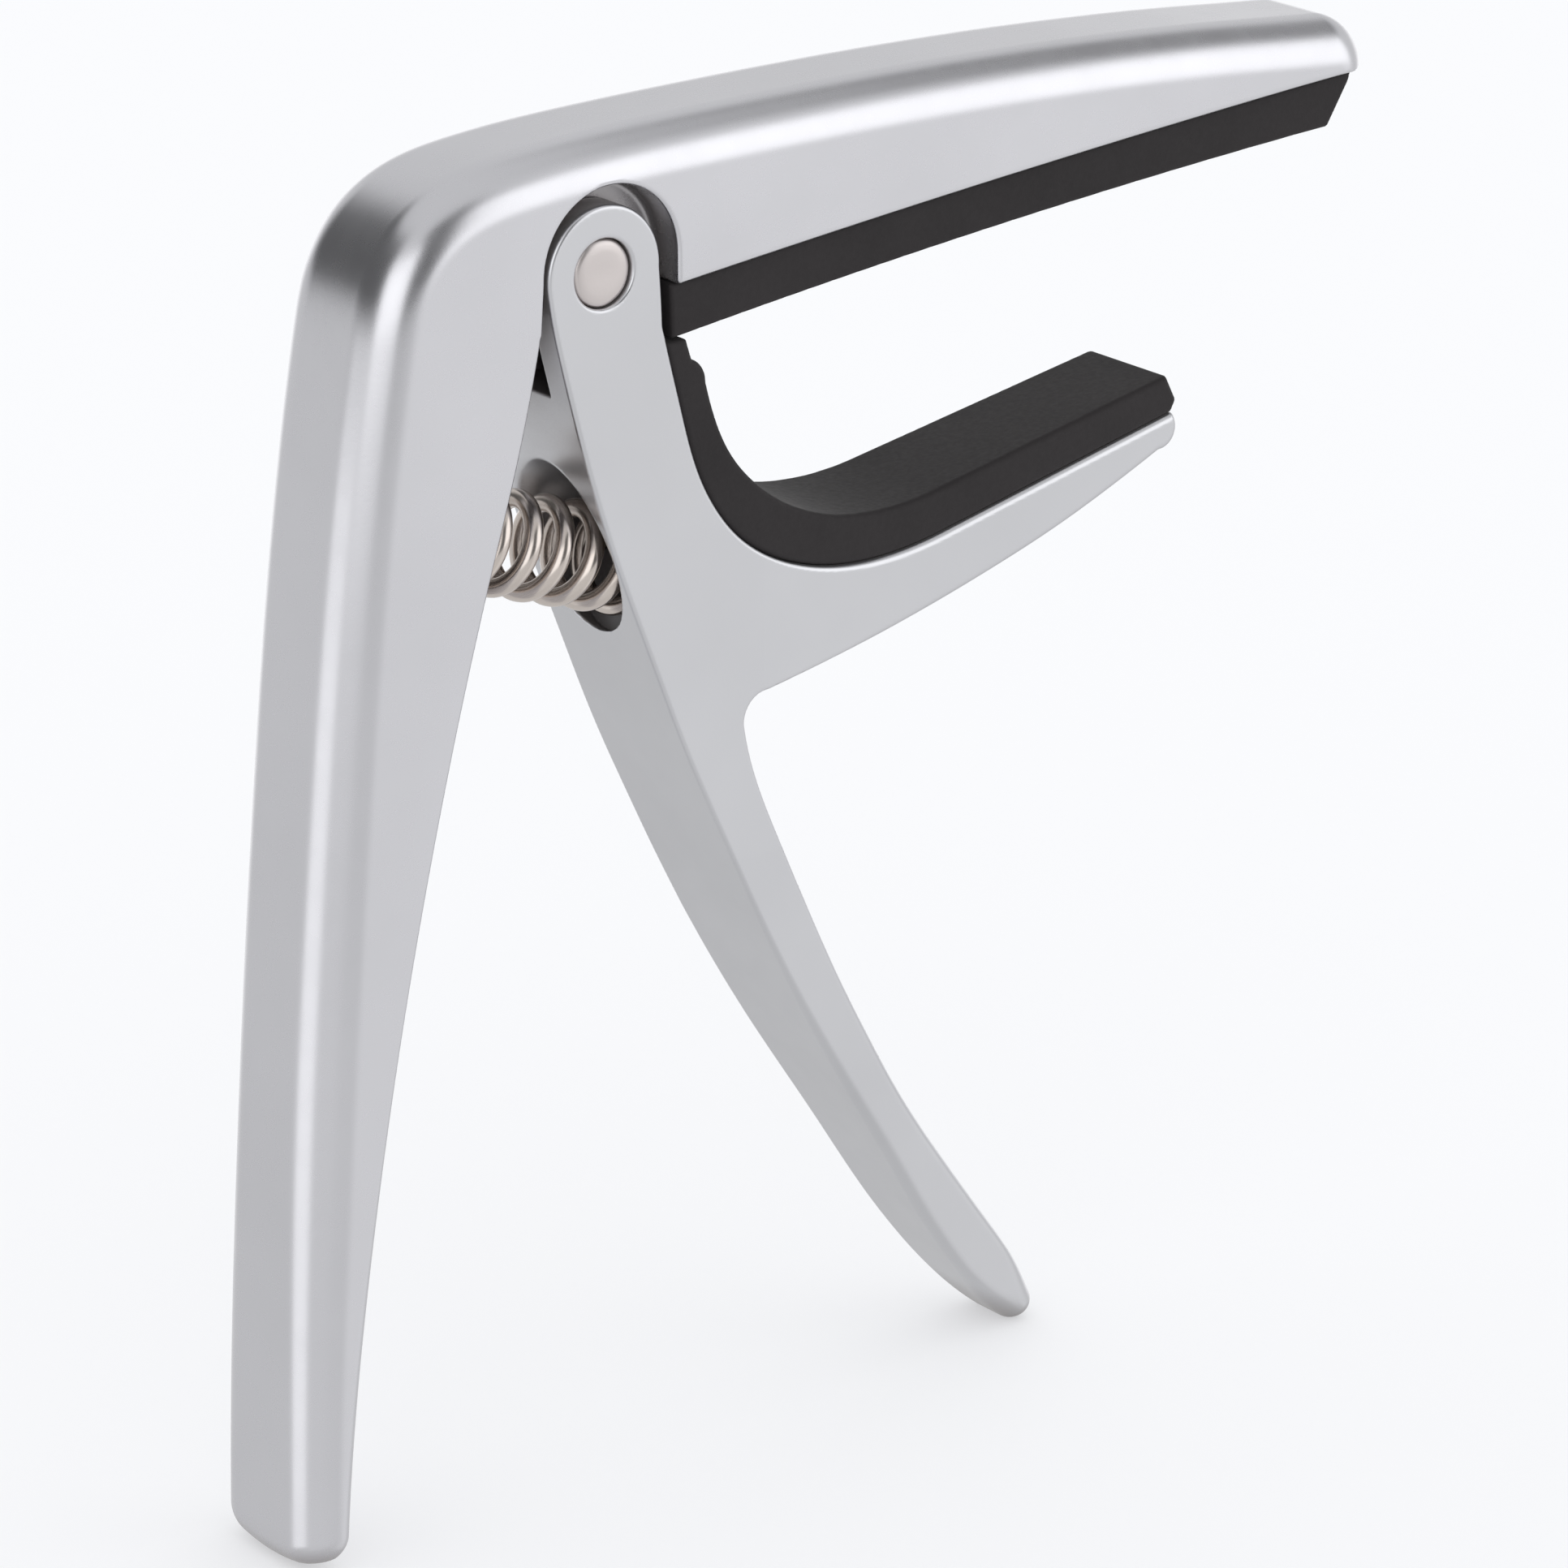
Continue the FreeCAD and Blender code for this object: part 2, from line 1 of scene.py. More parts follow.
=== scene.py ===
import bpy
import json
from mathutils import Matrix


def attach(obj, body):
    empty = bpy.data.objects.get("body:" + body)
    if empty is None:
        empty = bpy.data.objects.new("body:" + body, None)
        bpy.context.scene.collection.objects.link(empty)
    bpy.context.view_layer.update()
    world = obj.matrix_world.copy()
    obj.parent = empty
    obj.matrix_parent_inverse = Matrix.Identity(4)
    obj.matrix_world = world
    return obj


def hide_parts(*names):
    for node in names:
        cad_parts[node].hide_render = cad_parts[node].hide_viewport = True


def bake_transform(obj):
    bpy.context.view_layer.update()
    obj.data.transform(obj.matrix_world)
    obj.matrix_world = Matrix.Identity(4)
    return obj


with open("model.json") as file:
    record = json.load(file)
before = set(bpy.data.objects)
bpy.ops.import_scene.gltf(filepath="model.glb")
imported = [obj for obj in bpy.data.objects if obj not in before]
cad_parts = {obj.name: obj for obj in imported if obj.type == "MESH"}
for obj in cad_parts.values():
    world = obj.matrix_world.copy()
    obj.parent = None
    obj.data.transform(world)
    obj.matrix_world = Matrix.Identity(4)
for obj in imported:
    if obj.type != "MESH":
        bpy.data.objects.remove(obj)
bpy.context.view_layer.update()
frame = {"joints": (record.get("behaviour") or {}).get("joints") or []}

import json
import math
import bpy
import bmesh
import numpy as np
from mathutils import Euler, Matrix, Vector, kdtree

# Metres. The pivot pin's axis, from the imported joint.
PIVOT = Vector(frame["joints"][0]["pos_m"])
MM = 0.001
scene = bpy.context.scene
scene.view_settings.view_transform = "Standard"


# The shapes are drawn about the pivot axis in a frame that leans by 1.1 degrees
# when the capo stands on its two handles.
LEAN = math.radians(1.1)
LC, LS = math.cos(LEAN), math.sin(LEAN)
GROUND = PIVOT.z / MM                        # height of the pivot, millimetres


def P(x, z, y=0.0):
    """A point given in millimetres about the pivot axis."""
    return Vector((PIVOT.x + (x * LC - z * LS) * MM, PIVOT.y + y * MM, PIVOT.z + (x * LS + z * LC) * MM))


def leant(a):
    """Rows of x, y, z turned by the lean."""
    a = np.asarray(a, float)
    return np.stack([a[:, 0] * LC - a[:, 2] * LS, a[:, 1], a[:, 0] * LS + a[:, 2] * LC], 1)


# ------------------------------------------------------------------ camera
cam_data = bpy.data.cameras.new("camera")
cam_data.sensor_width = 36.0
cam_data.lens = 149.07
cam_data.clip_start = 0.01
cam = bpy.data.objects.new("camera", cam_data)
cam.location = P(-260.91, 125.21, -345.03)
turn = Euler((math.radians(69.2), 0.0, math.radians(-39.2))).to_matrix()
cam.rotation_euler = (Matrix.Rotation(-LEAN, 3, "Y") @ turn).to_euler()
scene.collection.objects.link(cam)
scene.camera = cam


# ------------------------------------------------------------------ nodes
def new_material(name):
    m = bpy.data.materials.new(name)
    m.use_nodes = True
    nt = m.node_tree
    nt.nodes.clear()
    out = nt.nodes.new("ShaderNodeOutputMaterial")
    bsdf = nt.nodes.new("ShaderNodeBsdfPrincipled")
    nt.links.new(bsdf.outputs[0], out.inputs[0])
    return m, nt, bsdf


def node(nt, kind, **inputs):
    n = nt.nodes.new(kind)
    for k, v in inputs.items():
        n.inputs[k].default_value = v
    return n


def ramp(nt, fac, stops):
    r = nt.nodes.new("ShaderNodeValToRGB")
    nt.links.new(fac, r.inputs[0])
    els = r.color_ramp.elements
    while len(els) < len(stops):
        els.new(0.5)
    for e, (p, c) in zip(els, stops):
        e.position = p
        e.color = (c[0], c[1], c[2], 1.0) if isinstance(c, (tuple, list)) else (c, c, c, 1.0)
    return r


def coords(nt, scale=(1.0, 1.0, 1.0)):
    tc = nt.nodes.new("ShaderNodeTexCoord")
    mp = nt.nodes.new("ShaderNodeMapping")
    mp.inputs["Scale"].default_value = scale
    nt.links.new(tc.outputs["Object"], mp.inputs["Vector"])
    return mp.outputs["Vector"]


def noise(nt, vec, scale, detail=3.0, rough=0.55):
    n = nt.nodes.new("ShaderNodeTexNoise")
    n.inputs["Scale"].default_value = scale
    n.inputs["Detail"].default_value = detail
    n.inputs["Roughness"].default_value = rough
    nt.links.new(vec, n.inputs["Vector"])
    return n.outputs["Fac"]


def bump(nt, height, dist, strength=1.0, normal=None):
    b = nt.nodes.new("ShaderNodeBump")
    b.inputs["Distance"].default_value = dist
    b.inputs["Strength"].default_value = strength
    nt.links.new(height, b.inputs["Height"])
    if normal is not None:
        nt.links.new(normal, b.inputs["Normal"])
    return b.outputs["Normal"]


def satin_aluminium(name, tone, rough, grain=1.0, reach=0.007, painted_shade_colour=(0.36, 0.33, 0.31)):
    """Die-cast aluminium under a satin silver finish, with painted shade and painted bounce light in its recesses."""
    m, nt, bsdf = new_material(name)
    v = coords(nt)
    broad = noise(nt, v, 60.0, 3.0)
    fine = noise(nt, v, 2600.0, 4.0, 0.6)
    mid = noise(nt, v, 420.0, 4.0, 0.6)
    col = ramp(nt, broad, [(0.30, [c * 0.97 for c in tone]), (0.70, [min(1.0, c * 1.02) for c in tone])])
    # painted shade: deep in the recesses and pockets the colour is darkened by ambient occlusion
    ao = nt.nodes.new("ShaderNodeAmbientOcclusion")
    ao.samples = 8
    ao.inputs["Distance"].default_value = reach
    shade = ramp(nt, ao.outputs["AO"], [(0.10, painted_shade_colour), (0.62, (1.0, 1.0, 1.0))])
    mul = nt.nodes.new("ShaderNodeMixRGB")
    mul.blend_type = "MULTIPLY"
    mul.inputs["Fac"].default_value = 1.0
    nt.links.new(col.outputs[0], mul.inputs["Color1"])
    nt.links.new(shade.outputs[0], mul.inputs["Color2"])
    nt.links.new(mul.outputs[0], bsdf.inputs["Base Color"])
    bsdf.inputs["Metallic"].default_value = 1.0
    # painted bounce light: deep in the recesses, by ambient occlusion, the metal is made less metallic so that the
    # diffuse world light brightens it
    painted_bounce_metallic = ramp(nt, ao.outputs["AO"], [(0.10, 0.45), (0.55, 1.0)])
    nt.links.new(painted_bounce_metallic.outputs[0], bsdf.inputs["Metallic"])
    rr = ramp(nt, mid, [(0.30, rough * 0.94), (0.70, rough * 1.07)])
    nt.links.new(rr.outputs[0], bsdf.inputs["Roughness"])
    n1 = bump(nt, fine, 0.00002 * grain, 0.14)
    nt.links.new(n1, bsdf.inputs["Normal"])
    return m


def rubber(name, tone, rough):
    m, nt, bsdf = new_material(name)
    v = coords(nt)
    broad = noise(nt, v, 90.0, 3.0)
    fine = noise(nt, v, 2200.0, 5.0, 0.65)
    col = ramp(nt, broad, [(0.35, [c * 0.88 for c in tone]), (0.68, [c * 1.12 for c in tone])])
    nt.links.new(col.outputs[0], bsdf.inputs["Base Color"])
    rr = ramp(nt, fine, [(0.30, rough * 0.9), (0.70, min(1.0, rough * 1.1))])
    nt.links.new(rr.outputs[0], bsdf.inputs["Roughness"])
    bsdf.inputs["Specular IOR Level"].default_value = 0.22
    bsdf.inputs["Sheen Weight"].default_value = 0.04
    bsdf.inputs["Sheen Roughness"].default_value = 0.5
    nt.links.new(bump(nt, fine, 0.00004, 0.5), bsdf.inputs["Normal"])
    return m


MAT_ARM = satin_aluminium("satin_cast_arm", (0.722, 0.722, 0.757), 0.27)
MAT_LEVER = satin_aluminium("satin_cast_lever", (0.695, 0.70, 0.728), 0.30)
MAT_RUBBER = rubber("moulded_rubber", (0.0235, 0.0205, 0.0215), 0.62)
MAT_PIN = satin_aluminium("nickel_pin", (0.72, 0.67, 0.66), 0.38, 2.0, 0.001)
# the spring wire's painted shade between its coils is a warm dark brown
MAT_WIRE = satin_aluminium("nickel_wire", (0.70, 0.635, 0.59), 0.22, 0.6, 0.006, (0.16, 0.115, 0.085))

# ------------------------------------------------------------------ shapes
# Every casting and moulding is made as a distance function in millimetres
# about the pivot axis (x right, y away, z up), negative inside, and turned
# into a mesh. That gives the true cast radii along each edge.
STEP = 0.2
GX0, GX1, GZ0, GZ1 = -31.0, 76.0, -94.5, 12.5
GX = np.arange(GX0, GX1, STEP)
GZ = np.arange(GZ0, GZ1, STEP)


def natural(points, step=0.06):
    """A cubic spline through the points, as close-set points."""
    p = np.array(points, float)
    t = np.concatenate([[0.0], np.cumsum(np.linalg.norm(np.diff(p, axis=0), axis=1))])
    n = len(p)
    h = np.diff(t)
    A = np.zeros((n, n)); rhs = np.zeros((n, 2))
    A[0, 0] = A[-1, -1] = 1.0
    for i in range(1, n - 1):
        A[i, i - 1], A[i, i], A[i, i + 1] = h[i - 1], 2 * (h[i - 1] + h[i]), h[i]
        rhs[i] = 6 * ((p[i + 1] - p[i]) / h[i] - (p[i] - p[i - 1]) / h[i - 1])
    # the ends carry on the curvature next to them
    A[0, 1] = -1.0; A[-1, -2] = -1.0
    m = np.linalg.solve(A, rhs)
    s = np.linspace(0, t[-1], max(8, int(t[-1] / step)))
    i = np.clip(np.searchsorted(t, s, side="right") - 1, 0, n - 2)
    u = (s - t[i])[:, None]; w = (t[i + 1] - s)[:, None]; hh = h[i][:, None]
    return (m[i] * w ** 3 + m[i + 1] * u ** 3) / (6 * hh) + (p[i] / hh - m[i] * hh / 6) * w + (p[i + 1] / hh - m[i + 1] * hh / 6) * u


def line(*points, step=0.06):
    out = []
    for a, b in zip(points[:-1], points[1:]):
        a, b = np.array(a, float), np.array(b, float)
        n = max(2, int(np.linalg.norm(b - a) / step))
        out.append(a + (b - a) * np.linspace(0, 1, n)[:, None])
    return np.concatenate(out)


def arc3(a, m, b, step=0.06):
    a, m, b = (np.array(v, float) for v in (a, m, b))
    M = 2 * np.array([m - a, b - a])
    c = np.linalg.solve(M, [m @ m - a @ a, b @ b - a @ a])
    r = np.linalg.norm(a - c)
    ta, tm, tb = (math.atan2(*(v - c)[::-1]) for v in (a, m, b))
    d1 = (tm - ta) % (2 * math.pi); d2 = (tb - ta) % (2 * math.pi)
    sweep = d2 if d1 < d2 else d2 - 2 * math.pi
    n = max(4, int(abs(sweep) * r / step))
    t = ta + sweep * np.linspace(0, 1, n)
    return c + r * np.stack([np.cos(t), np.sin(t)], 1)


def join(*parts):
    out = [parts[0]]
    for p in parts[1:]:
        out.append(p[1:] if np.linalg.norm(p[0] - out[-1][-1]) < 1e-6 else p)
    return np.concatenate(out)


class Field:
    """Signed distance to a line in the side view, kept on the lattice."""

    def __init__(self, pts, closed):
        keep = np.concatenate([[True], np.linalg.norm(np.diff(pts, axis=0), axis=1) > 1e-7])
        pts = pts[keep]
        if closed and np.linalg.norm(pts[0] - pts[-1]) < 1e-6:
            pts = pts[:-1]
        n = len(pts)
        kd = kdtree.KDTree(n)
        for i, p in enumerate(pts):
            kd.insert((p[0], p[1], 0.0), i)
        kd.balance()
        # nearest point of the line: looked up on every fourth node, then exactly
        # in the band where the surface can lie
        cx_, cz_ = np.arange(0, len(GX) + 4, 4), np.arange(0, len(GZ) + 4, 4)
        cn = np.array([[kd.find((GX[0] + i * STEP, GZ[0] + k * STEP, 0.0))[1:] for k in cz_] for i in cx_])
        II, KK = np.meshgrid(np.arange(len(GX)), np.arange(len(GZ)), indexing="ij")
        ci, ck = np.rint(II / 4).astype(int), np.rint(KK / 4).astype(int)
        near = cn[ci, ck, 0].astype(int)
        band = np.argwhere(cn[ci, ck, 1] < 5.6)
        near[band[:, 0], band[:, 1]] = [kd.find((GX[i], GZ[k], 0.0))[1] for i, k in band]
        q = np.stack(np.meshgrid(GX, GZ, indexing="ij"), -1)
        best = np.full(near.shape, 1e9); side = np.ones(near.shape)
        for off in (-1, 0):
            i0 = near + off; i1 = i0 + 1
            if closed:
                i0 %= n; i1 %= n
            else:
                i0 = np.clip(i0, 0, n - 1); i1 = np.clip(i1, 0, n - 1)
            a = pts[i0]; ab = pts[i1] - a
            l2 = np.maximum((ab ** 2).sum(-1), 1e-18)
            u = ((q - a) * ab).sum(-1) / l2
            uc = np.clip(u, 0, 1)
            if not closed:
                # past an end the line carries on straight
                uc = np.where((i1 >= n - 1) & (u > 1), u, uc)
                uc = np.where((i0 <= 0) & (u < 0), u, uc)
            d = np.linalg.norm(q - a - ab * uc[..., None], axis=-1)
            good = (ab ** 2).sum(-1) > 1e-14
            cr = ab[..., 0] * (q - a)[..., 1] - ab[..., 1] * (q - a)[..., 0]
            take = good & (d < best)
            best = np.where(take, d, best); side = np.where(take, np.sign(cr), side)
        if closed:
            inside = np.zeros(near.shape, bool)
            nxt = np.roll(pts, -1, axis=0)
            for k, z in enumerate(GZ):
                c = (pts[:, 1] > z) != (nxt[:, 1] > z)
                xs = np.sort(pts[c, 0] + (z - pts[c, 1]) * (nxt[c, 0] - pts[c, 0]) / (nxt[c, 1] - pts[c, 1]))
                inside[:, k] = np.searchsorted(xs, GX) % 2 == 1
            self.v = np.where(inside, -best, best)
        else:
            self.v = best * side          # positive on the left of the line
        self.v = self.v.astype(np.float64)

    def lattice(self):
        return self.v[:, None, :]

    def at(self, x, z):
        """Cubic interpolation between the lattice points."""
        fx = (x - GX[0]) / STEP; fz = (z - GZ[0]) / STEP
        ix = np.clip(np.floor(fx).astype(int), 1, len(GX) - 3)
        iz = np.clip(np.floor(fz).astype(int), 1, len(GZ) - 3)
        tx = fx - ix; tz = fz - iz

        def w(t):
            return (-0.5 * t + t * t - 0.5 * t ** 3, 1 - 2.5 * t * t + 1.5 * t ** 3,
                    0.5 * t + 2 * t * t - 1.5 * t ** 3, -0.5 * t * t + 0.5 * t ** 3)

        wx, wz = w(tx), w(tz)
        out = 0.0
        for i in range(4):
            for k in range(4):
                out = out + wx[i] * wz[k] * self.v[ix + i - 1, iz + k - 1]
        return out


def both(a, b, r):
    """Inside both, with the edge between them rounded to radius r."""
    return np.minimum(np.maximum(a + r, b + r), 0.0) + np.sqrt(np.maximum(a + r, 0.0) ** 2 + np.maximum(b + r, 0.0) ** 2) - r


def either(a, b, r):
    return -both(-a, -b, r)


def cut(a, hole, r):
    return both(a, -hole, r)


def blend_in(v, v0, v1):
    t = np.clip((v - v0) / (v1 - v0), 0.0, 1.0)
    return t * t * (3 - 2 * t)


def cells_to_mesh(vals, org):
    """Surface nets: one corner in each cell the surface crosses."""
    s = vals < 0
    cnt = np.zeros(tuple(n - 1 for n in s.shape), np.uint8)
    for dx in (0, 1):
        for dy in (0, 1):
            for dz in (0, 1):
                cnt += s[dx:s.shape[0] - 1 + dx, dy:s.shape[1] - 1 + dy, dz:s.shape[2] - 1 + dz]
    act = (cnt > 0) & (cnt < 8)
    idx = np.full(act.shape, -1, np.int64)
    I, J, K = np.nonzero(act)
    idx[I, J, K] = np.arange(len(I))
    corner = [(dx, dy, dz) for dx in (0, 1) for dy in (0, 1) for dz in (0, 1)]
    cv = np.stack([vals[I + c[0], J + c[1], K + c[2]] for c in corner], 1)
    acc = np.zeros((len(I), 3)); num = np.zeros(len(I))
    for a in range(8):
        for ax in range(3):
            if corner[a][ax] == 0:
                c2 = list(corner[a]); c2[ax] = 1
                b = corner.index(tuple(c2))
                va, vb = cv[:, a], cv[:, b]
                m = (va < 0) != (vb < 0)
                t = np.where(m, va / np.where(m, va - vb, 1.0), 0.0)
                p = np.array(corner[a], float)[None, :].repeat(len(I), 0)
                p[:, ax] += t
                acc += p * m[:, None]; num += m
    pos = np.stack([I, J, K], 1) + acc / num[:, None]
    pos = pos * STEP + np.array(org)
    quads = []
    for ax in range(3):
        o1, o2 = (ax + 1) % 3, (ax + 2) % 3
        sl0 = [slice(None)] * 3; sl1 = [slice(None)] * 3
        sl0[ax] = slice(0, -1); sl1[ax] = slice(1, None)
        a, b = s[tuple(sl0)], s[tuple(sl1)]
        e = np.argwhere(a != b)
        ok = (e[:, o1] > 0) & (e[:, o2] > 0) & (e[:, o1] < act.shape[o1]) & (e[:, o2] < act.shape[o2])
        e = e[ok]
        ins = a[e[:, 0], e[:, 1], e[:, 2]]
        q = []
        for d1, d2 in ((-1, -1), (0, -1), (0, 0), (-1, 0)):
            c = e.copy(); c[:, o1] += d1; c[:, o2] += d2
            q.append(idx[c[:, 0], c[:, 1], c[:, 2]])
        q = np.stack(q, 1)
        q[~ins] = q[~ins][:, ::-1]
        quads.append(q)
    return pos, np.concatenate(quads)


FIELDS = {}


def shape(name, f, body, replaced, mat, xr, yr, zr, settle=3):
    """f(x, y, z, D) is the distance; D(name) is a side-view field there."""
    i0, i1 = np.searchsorted(GX, xr[0]), np.searchsorted(GX, xr[1])
    k0, k1 = np.searchsorted(GZ, zr[0]), np.searchsorted(GZ, zr[1])
    ys = np.arange(yr[0] - 0.37, yr[1] + 0.5, STEP)
    vals = f(GX[i0:i1, None, None], ys[None, :, None], GZ[None, None, k0:k1],
             lambda n: FIELDS[n].v[i0:i1, None, k0:k1])
    vals = np.broadcast_to(vals, (i1 - i0, len(ys), k1 - k0))
    pos, quads = cells_to_mesh(vals, (GX[i0], ys[0], GZ[k0]))

    def at(p):
        return f(p[:, 0], p[:, 1], p[:, 2], lambda n: FIELDS[n].at(p[:, 0], p[:, 2]))

    def grad(p, e):
        g = np.zeros_like(p)
        for ax in range(3):
            d = np.zeros(3); d[ax] = e
            g[:, ax] = (at(p + d) - at(p - d)) / (2 * e)
        return g

    for _ in range(settle):
        g = grad(pos, 0.05)
        l2 = np.maximum((g ** 2).sum(1), 0.2)
        move = -(at(pos) / l2)[:, None] * g
        ln = np.linalg.norm(move, axis=1)
        move *= np.minimum(1.0, 0.12 / np.maximum(ln, 1e-9))[:, None]
        pos = pos + move
    g = grad(pos, 0.06)
    nrm = g / np.maximum(np.linalg.norm(g, axis=1), 1e-9)[:, None]
    me = bpy.data.meshes.new(name)
    co = leant(pos) * MM + np.array(PIVOT)
    me.vertices.add(len(co)); me.vertices.foreach_set("co", co.astype(np.float32).ravel())
    me.loops.add(len(quads) * 4); me.loops.foreach_set("vertex_index", quads.astype(np.int32).ravel())
    me.polygons.add(len(quads))
    me.polygons.foreach_set("loop_start", np.arange(0, len(quads) * 4, 4, dtype=np.int32))
    me.update(calc_edges=True)
    me.validate()
    me.polygons.foreach_set("use_smooth", np.ones(len(me.polygons), bool))
    me.normals_split_custom_set_from_vertices([tuple(v) for v in leant(nrm)])
    me.materials.append(mat)
    ob = bpy.data.objects.new(name, me)
    scene.collection.objects.link(ob)
    if body:
        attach(ob, body)
    if replaced:
        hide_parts(replaced)
    return ob


# ------------------------------------------------------------------ outlines
OUTER = [
    (69.45, 6.745), (65.0, 7.17), (58.5, 7.80), (52.0, 8.32), (45.7, 8.73),
    (39.4, 9.05), (33.3, 9.28), (27.3, 9.44), (21.4, 9.53), (15.5, 9.57),
    (9.8, 9.57), (4.2, 9.52), (-1.3, 9.38), (-6.6, 9.02), (-11.4, 8.15),
    (-15.6, 5.80), (-18.35, 1.85), (-19.55, -2.60), (-20.38, -7.10),
    (-22.40, -20.75), (-23.96, -34.85), (-25.33, -49.30), (-26.45, -64.0),
    (-27.25, -79.0), (-27.66, -91.566),
]
HANDLE_IN = [
    (-23.95, -91.637), (-23.05, -80.8), (-21.35, -67.7), (-19.15, -54.9),
    (-16.42, -42.5), (-13.30, -30.4), (-9.80, -18.65), (-7.95, -12.8),
    (-6.35, -6.9), (-5.60, -3.6),
]
REAR = [
    (-4.78, -0.6), (-4.25, -3.6), (-3.42, -7.0), (-1.45, -14.2), (1.15, -22.0),
    (4.10, -29.6), (7.10, -37.05), (10.45, -44.3), (13.95, -51.6),
    (17.95, -59.2), (22.28, -66.52), (26.86, -73.82), (31.60, -81.4),
    (35.45, -86.68), (38.45, -90.25), (40.90, -92.47),
]
TIP_C, TIP_R = (41.95, -91.40), 1.5
FRONT = [
    (43.27, -90.70), (40.98, -87.05), (37.90, -82.80), (32.72, -75.78), (28.40, -69.55),
    (24.35, -62.8), (20.95, -56.6), (17.75, -50.1), (14.95, -44.0),
    (12.75, -38.0), (12.30, -35.75),
]
UNDER = [
    (14.50, -33.62), (20.2, -32.78), (25.85, -31.80), (31.4, -30.60),
    (36.9, -29.22), (42.4, -27.65), (47.7, -25.82), (53.0, -23.75),
]
SADDLE = [
    (5.12, -4.7), (5.95, -8.0), (6.68, -10.8), (7.40, -13.5), (8.42, -16.4),
    (9.90, -19.1), (12.0, -21.6), (15.05, -23.75), (18.35, -25.1),
    (21.8, -25.85), (25.3, -26.05), (28.6, -25.85), (31.8, -25.35),
]
SADDLE_END = (54.35, -21.05)

nose_top = (69.0 + 4.0 * math.cos(math.radians(84)), 2.77 + 4.0 * math.sin(math.radians(84)))
outer_line = join(arc3((73.0, 2.77), (69.0 + 4.0 * math.cos(math.radians(42)), 2.77 + 4.0 * math.sin(math.radians(42))), OUTER[0]),
                  natural(OUTER))
FIELDS["arm_out"] = Field(outer_line, False)
FIELDS["arm_out"].v *= -1.0       # the metal lies on the left of the line
inner_line = join(natural(HANDLE_IN), line(HANDLE_IN[-1], (-4.70, -3.05)), arc3((-4.70, -3.05), (0.25, -5.6), (5.25, -1.95)),
                  line((5.25, -1.95), (6.0, -1.95)), arc3((6.0, -1.95), (39.5, 0.78), (73.0, 2.77)))
FIELDS["arm_in"] = Field(inner_line, False)
FIELDS["arm_in"].v *= -1.0
rr, cx, cz = 5.8, 0.5, 0.45
FIELDS["recess"] = Field(join(arc3((cx + rr, cz), (cx, cz + rr), (cx - rr, cz)),
                              line((cx - rr, cz), (-5.65, -4.5), (-5.65, -9.0), (6.35, -9.0), (cx + rr, cz))), True)
er, ec = 4.85, (0.05, 0.0)
ear_r = (ec[0] + er * math.cos(math.radians(-4)), er * math.sin(math.radians(-4)))
FIELDS["lever"] = Field(join(
    arc3(REAR[0], (ec[0], er), ear_r), natural([ear_r, (5.02, -2.2), (5.12, -4.7)]), natural(SADDLE),
    line(SADDLE[-1], SADDLE_END), arc3(SADDLE_END, (54.75, -22.35), UNDER[-1]), natural(UNDER[::-1]),
    arc3(UNDER[0], (12.88, -34.25), FRONT[-1]), natural(FRONT[::-1]),
    arc3(FRONT[0], (TIP_C[0] + TIP_R * 0.62, TIP_C[1] - TIP_R * 0.7846), REAR[-1]), natural(REAR[::-1])), True)

def down(deg):
    return (math.cos(math.radians(deg)), -math.sin(math.radians(deg)))


AX, HALF_WAY = down(19.0), (-2.2, -20.75)    # the spring's axis and its middle
WELL_AX, RIM = down(26.0), (0.651, -21.012)  # the well in the lever


def bore(x, y, z, start, axis, along0, along1, radius):
    """A round bore between two stations along an axis."""
    u = (x - start[0]) * axis[0] + (z - start[1]) * axis[1]
    v = -(x - start[0]) * axis[1] + (z - start[1]) * axis[0]
    rad = np.sqrt(v * v + y * y) - radius
    return np.maximum(rad, np.maximum(along0 - u, u - along1))


def arm_shape(x, y, z, D):
    out, inn = D("arm_out"), D("arm_in")
    ay = np.abs(y)
    side = ay - 6.0
    grip = np.maximum(both(out, side, 3.5 - 0.5 * blend_in(-z, 55.0, 88.0)),
                      both(inn, side, 0.4 + 0.7 * blend_in(-z, 50.0, 88.0)))
    # the foot is round seen from behind and from the side
    foot = -(x * LS + z * LC) - GROUND + y * y / 32.0
    body = both(grip, foot, 1.9)
    body = np.maximum(body, both(out, inn, 0.3))
    rec = either(-D("recess"), ay - 3.1, 0.5)
    body = both(body, rec, 0.28)
    body = cut(body, bore(x, y, z, HALF_WAY, AX, -9.5, -0.5, 5.0), 0.3)
    return cut(body, np.sqrt(x * x + z * z) - 2.55, 0.1)


def lever_half(x, z):
    jaw = 1.1 * np.clip((x - 14.0) / 41.0, 0.0, 1.2)
    trig = np.interp(-z, [40.0, 46.0, 54.0, 64.0, 76.0, 85.0, 90.0, 93.0],
                     [0.0, 0.02, 0.22, 0.62, 1.3, 1.95, 2.35, 2.6])
    return 5.7 - np.where(z > -40.0, jaw, trig)


def lever_shape(x, y, z, D):
    d = D("lever")
    ay = np.abs(y)
    side = ay - lever_half(x, z)
    r = 0.3 + 0.25 * blend_in(x, 14.0, 30.0) * (z > -40) + 0.6 * blend_in(-z, 45.0, 78.0) + 0.95 * blend_in(-z, 85.5, 92.0)
    body = both(d, side, r)
    slot_line = -(z + 9.0 + 0.08 * x)
    slot = np.maximum(ay - 3.2, np.maximum(slot_line, -20.0 - z))
    body = cut(body, slot, 0.2)
    body = cut(body, bore(x, y, z, RIM, WELL_AX, -11.5, 6.8, 5.0), 0.3)
    return cut(body, np.sqrt(x * x + z * z) - 2.5, 0.25)


